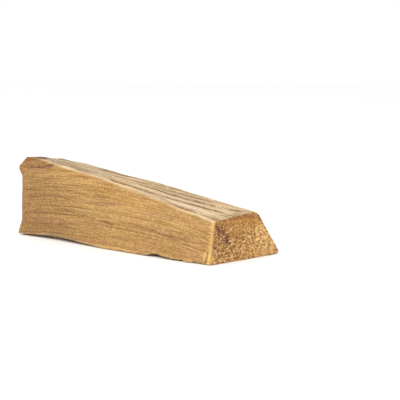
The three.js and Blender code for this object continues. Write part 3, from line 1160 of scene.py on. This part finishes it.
def front_colour(g, grain, nap):
    """The smooth face: warm tan with thin darker growth lines and a fine mottle."""
    aged, gold, pale_and_lit = (g.value(trait) for trait in ("aged", "gold", "pale_and_lit"))
    bands = g.noise(grain, (0.012, 0.14), distortion=0.3)
    tints = g.noise(grain, (0.05, 0.3))
    streaks = g.noise(grain, (0.02, 0.9), distortion=0.1)
    lines = g.noise(grain, (0.018, 2), 0.6)
    fuzz = g.noise(grain, (1.9, 2.1), 0.6)
    rough = g.ramp(aged, (0, 0.48), (1, 0.7))
    layers = [
        (bands, 0.42, 0.6, 1, (203, 158, 90)),
        (tints, 0.5, 0.6, 0.6, (203, 149, 102)),
        (tints, 0.48, 0.38, 0.6, (196, 160, 88)),
        (gold, 0.8, (214, 152, 62)),
        (pale_and_lit, 0.9, (252, 208, 136)),
        (streaks, 0.47, 0.36, 0.28, (158, 111, 62)),
        (streaks, 0.53, 0.64, 0.28, (228, 184, 120)),
        (lines, 0.48, 0.36, 0.4, (154, 106, 56)),
        (lines, 0.52, 0.64, 0.38, (231, 188, 120)),
        (g.ramp(fuzz, (0.5, 0), (0.36, 1)), rough, (146, 100, 52)),
        (g.ramp(fuzz, (0.5, 0), (0.64, 1)), rough, (242, 200, 134)),
        (nap, 0.5, 0.36, 0.2, (150, 106, 60)),
        (nap, 0.5, 0.66, 0.2, (234, 194, 134)),
        (g.hairlines(grain, 3.4, 12), 0.6, (136, 92, 48)),
        (g.hairlines(grain, 5.6, 9), 0.55, (136, 92, 48)),
        (pale_and_lit, 0.6, (255, 206, 116)),
    ]
    return g.shade(aged, g.layers(seen(184, 139, 75), layers), FRONT_AGED)


def torn_colour(g, grain, nap):
    """Torn faces: light straw, painted shade in the grooves and cracks, painted highlight on ridges and
    lips.
    """
    aged, gold, pale_and_lit = (g.value(trait) for trait in ("aged", "gold", "pale_and_lit"))
    band, relief_shading, split_shading = (g.value(trait) for trait in ("band", "relief_shading", "split_shading"))
    streaks = g.noise(grain, (0.016, 0.6), 0.65, 3, 0.1)
    threads = g.noise(grain, (0.03, 2), 0.6, 3)
    tints = g.noise(grain, (0.02, 0.2))
    hues = g.noise(grain, (0.03, 0.7))
    specks = g.noise(grain, (0.9, 1.9), 0.6)
    wide = g.noise(grain, (0.012, 0.48), 0.6)
    strands = g.ramp(g.hairlines(grain, 11, 9), (0, 0.5), (1, 1.4))
    torn_edge = g.times(strands, g.ramp(threads, (0.38, 0.6), (0.6, 1.5)))
    layers = [
        (band, 0, 1, 1, (209, 169, 113)),
        (band, 1, 2, 1, (199, 167, 123)),
        (tints, 0.48, 0.6, 0.4, (210, 172, 119)),
        (hues, 0.5, 0.62, 0.55, (226, 182, 152)),
        (hues, 0.5, 0.38, 0.55, (206, 184, 124)),
        (gold, 0.8, (214, 152, 62)),
        (pale_and_lit, 0.9, (250, 230, 192)),
        (g.ramp(wide, (0.5, 0), (0.45, 0.95)), aged, (152, 116, 78)),
        (g.ramp(wide, (0.52, 0), (0.57, 0.9)), aged, (252, 232, 200)),
        # painted shade in the hollows, painted highlight on the ridges
        (relief_shading, -0.3, -1.4, 0.5, (164, 122, 72)),
        (relief_shading, 0.2, 1, 0.5, (246, 222, 182)),
        (streaks, 0.5, 0.41, 0.85, (154, 114, 68)),
        (streaks, 0.52, 0.61, 0.75, (250, 223, 180)),
        (threads, 0.47, 0.38, 0.7, (144, 104, 62)),
        (threads, 0.53, 0.62, 0.7, (252, 226, 186)),
        (specks, 0.5, 0.36, 0.4, (160, 120, 76)),
        (specks, 0.52, 0.66, 0.4, (250, 230, 196)),
        (nap, 0.5, 0.36, 0.3, (170, 130, 84)),
        (g.hairlines(grain, 1.7, 9), 0.8, (128, 90, 50)),
        (g.hairlines(grain, 3.1, 12), 0.75, (128, 90, 50)),
        # painted highlight on the lips beside the cracks
        (split_shading, -0.2, -1, 0.55, (250, 222, 178)),
        (pale_and_lit, 0.45, (252, 226, 184)),
        # painted shade in the cracks, ragged along the strands
        (g.times(split_shading, torn_edge), 0.1, 0.8, 1, (106, 68, 30)),
    ]
    return g.shade(aged, g.layers(seen(214, 182, 130), layers), TORN_AGED)


def cut_colour(g, grain):
    """Sawn ends: fibres end on, as dark pits, some painted as shade, and bright tips, and a mask of the
    tips.
    """
    relief_shading, gold, pale_and_lit = (g.value(trait) for trait in ("relief_shading", "gold", "pale_and_lit"))
    bands = g.noise(grain, (0, 0.14))
    golds = g.noise(grain, (0, 0.2), 0.6)
    mottle = g.noise(grain, (0.3, 0.9, 1.1), 0.75, 3)
    fine = g.noise(grain, (0.3, 2.1, 2.7), 0.7)
    open_grain = g.ramp(g.value("shut"), (0, 0.9), (1, 0.1))
    dark, bright = g.specks(grain, (0, 0.95, 1.25), 0.22, 0.26, 0.7)
    small_dark, small_bright = g.specks(grain, (0, 1.8, 2.4), 0.32, 0.36, 0.75)
    layers = [
        (bands, 0.42, 0.58, 1, (223, 164, 90)),
        (golds, 0.5, 0.62, 0.5, (216, 154, 66)),
        (gold, 0.8, (214, 152, 62)),
        (pale_and_lit, 0.9, (252, 208, 136)),
        (mottle, 0.5, 0.38, 0.55, (158, 100, 50)),
        (mottle, 0.52, 0.64, 0.55, (248, 200, 122)),
        (fine, 0.5, 0.38, 0.7, (142, 86, 38)),
        (fine, 0.5, 0.62, 0.7, (255, 212, 138)),
        # painted shade in the deepest pits
        (relief_shading, -0.1, -0.8, 0.35, (138, 84, 40)),
        (small_dark, open_grain, (142, 90, 44)),
        (small_bright, open_grain, (255, 218, 154)),
        (dark, open_grain, (128, 78, 38)),
        (bright, open_grain, (255, 226, 166)),
    ]
    colour = g.shade(pale_and_lit, g.layers(seen(204, 133, 62), layers), CUT_PALE)
    colour = g.shade(gold, colour, CUT_GOLD)
    tips = g.math("MAXIMUM", g.times(bright, open_grain), g.times(small_bright, 0.8))
    return g.layers(colour, [(g.growth_rings(grain), 1, (150, 94, 44))]), tips


def wood_material():
    g = Graph("palo_santo")
    grain = g.value("grain", "Vector")
    sawn = g.value("end_cut")
    nap = g.noise(grain, (0.5, 2.6), 0.6)
    cut, cut_tips = cut_colour(g, grain)
    whole = g.mix(g.value("torn"), front_colour(g, grain, nap), torn_colour(g, grain, nap))
    whole = g.mix(sawn, whole, cut)
    # dark marks: real blemishes, and painted shade under the sliver, in the crack and at the turned edge
    uneven = g.times(g.value("stain_and_shade"), g.ramp(nap, (0.4, 1), (0.62, 0.7)))
    stained = g.times(uneven, g.ramp(g.times(sawn, cut_tips), (0, 0.95), (0.8, 0.1)))
    whole = g.mix(stained, whole, g.mix(sawn, seen(106, 62, 34), seen(114, 62, 42)))
    # bared wood along the arrises, as wear and in part as painted highlight
    whole = g.layers(whole, [(g.value("wear_and_edge_highlight"), 0.9, (250, 222, 178))])

    lines = g.noise(grain, (0.05, 2.1), 0.55, 3)
    height = g.math("ADD", g.times(lines, 0.6), g.times(nap, 0.7))
    bump = g.add("Bump", {"Strength": BUMP_STRENGTH, "Distance": BUMP_DEPTH, "Height": height})[0]
    roughness = g.ramp(lines, (0.3, 0.86), (0.7, 0.68))
    g.surface(whole, roughness, {"Specular IOR Level": SPECULAR, "Normal": bump})
    return g.material


def fibre_material():
    g = Graph("loose_fibre")
    place = g.add("TexCoord")["Object"]
    mottle = g.noise(place, (180, 900), 0.6)
    layers = [(g.value("tone"), 1, (248, 226, 186)), (mottle, 0.5, 0.36, 0.6, (160, 116, 68))]
    colour = g.layers(seen(198, 152, 94), layers)
    g.surface(colour, g.ramp(mottle, (0.3, 0.85), (0.7, 0.65)), {"Specular IOR Level": SPECULAR})
    return g.material


# The studio

CAMERA_AIM = (23.9, 4.16, 18.95)  # the point at the picture's centre
CAMERA_DISTANCE = 625
CAMERA_LENS = 150
CAMERA_NEAREST = 0.01
CAMERA_TURN = 40.96
CAMERA_RISE = 9
KEY_TURN = 10
KEY_RISE = 50
KEY_DISTANCE = 0.9
KEY_SIZE = 0.4
KEY_POWER = 4
WORLD_COLOUR = (1, 1, 1, 1)
FLOOR_RADIUS = 0.7
FLOOR_SIDES = 96
FLOOR_COLOUR = (0.9, 0.9, 0.9, 1)
FLOOR_ROUGHNESS = 0.9


def direction(turn, rise):
    """The way from the stick at that turn round it and that rise above it, in degrees."""
    a, e = math.radians(turn), math.radians(rise)
    return Vector((math.sin(a) * math.cos(e), -math.cos(a) * math.cos(e), math.sin(e)))


def add_facing(name, data, back, place):
    """Adds a camera or a lamp at the place, with its back that way."""
    thing = bpy.data.objects.new(name, data)
    bpy.context.collection.objects.link(thing)
    thing.location = place
    thing.rotation_mode = "QUATERNION"
    thing.rotation_quaternion = (-back).to_track_quat("-Z", "Y")
    return thing


def add_camera():
    data = bpy.data.cameras.new("camera")
    data.lens = CAMERA_LENS
    data.clip_start = CAMERA_NEAREST
    back = direction(CAMERA_TURN, CAMERA_RISE)
    place = (Vector(CAMERA_AIM) + back * CAMERA_DISTANCE) * MM
    bpy.context.scene.camera = add_facing("camera", data, back, place)


def add_key_light():
    light = bpy.data.lights.new("key", "AREA")
    light.shape = "DISK"
    light.size = KEY_SIZE
    light.energy = KEY_POWER
    back = direction(KEY_TURN, KEY_RISE)
    add_facing("key", light, back, back * KEY_DISTANCE)


def add_floor():
    turns = np.linspace(0, 2 * np.pi, FLOOR_SIDES, endpoint=False)
    rim = np.stack([np.cos(turns), np.sin(turns), 0 * turns], 1) * FLOOR_RADIUS
    floor = mesh_object("floor", rim, [tuple(range(FLOOR_SIDES))])
    g = Graph("floor")
    g.surface(FLOOR_COLOUR, FLOOR_ROUGHNESS)
    floor.data.materials.append(g.material)
    floor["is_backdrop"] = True


def add_world():
    world = bpy.data.worlds.new("studio")
    world.use_nodes = True
    world.node_tree.nodes["Background"].inputs["Color"].default_value = WORLD_COLOUR
    bpy.context.scene.world = world


rings, outs, ring_traits = shape_rings()
stick = build_stick(rings, ring_traits)
stick.data.materials.append(wood_material())
loose_fibres = build_fibres(rings, outs)
loose_fibres.data.materials.append(fibre_material())
for piece in (stick, loose_fibres):
    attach(piece, "root")
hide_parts(STICK_NODE)

add_camera()
add_floor()
add_world()
add_key_light()
bpy.context.scene.view_settings.view_transform = "Standard"

boxes = [cad_low, cad_high, *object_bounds()]
[[float(c) for c in corner] for corner in boxes]
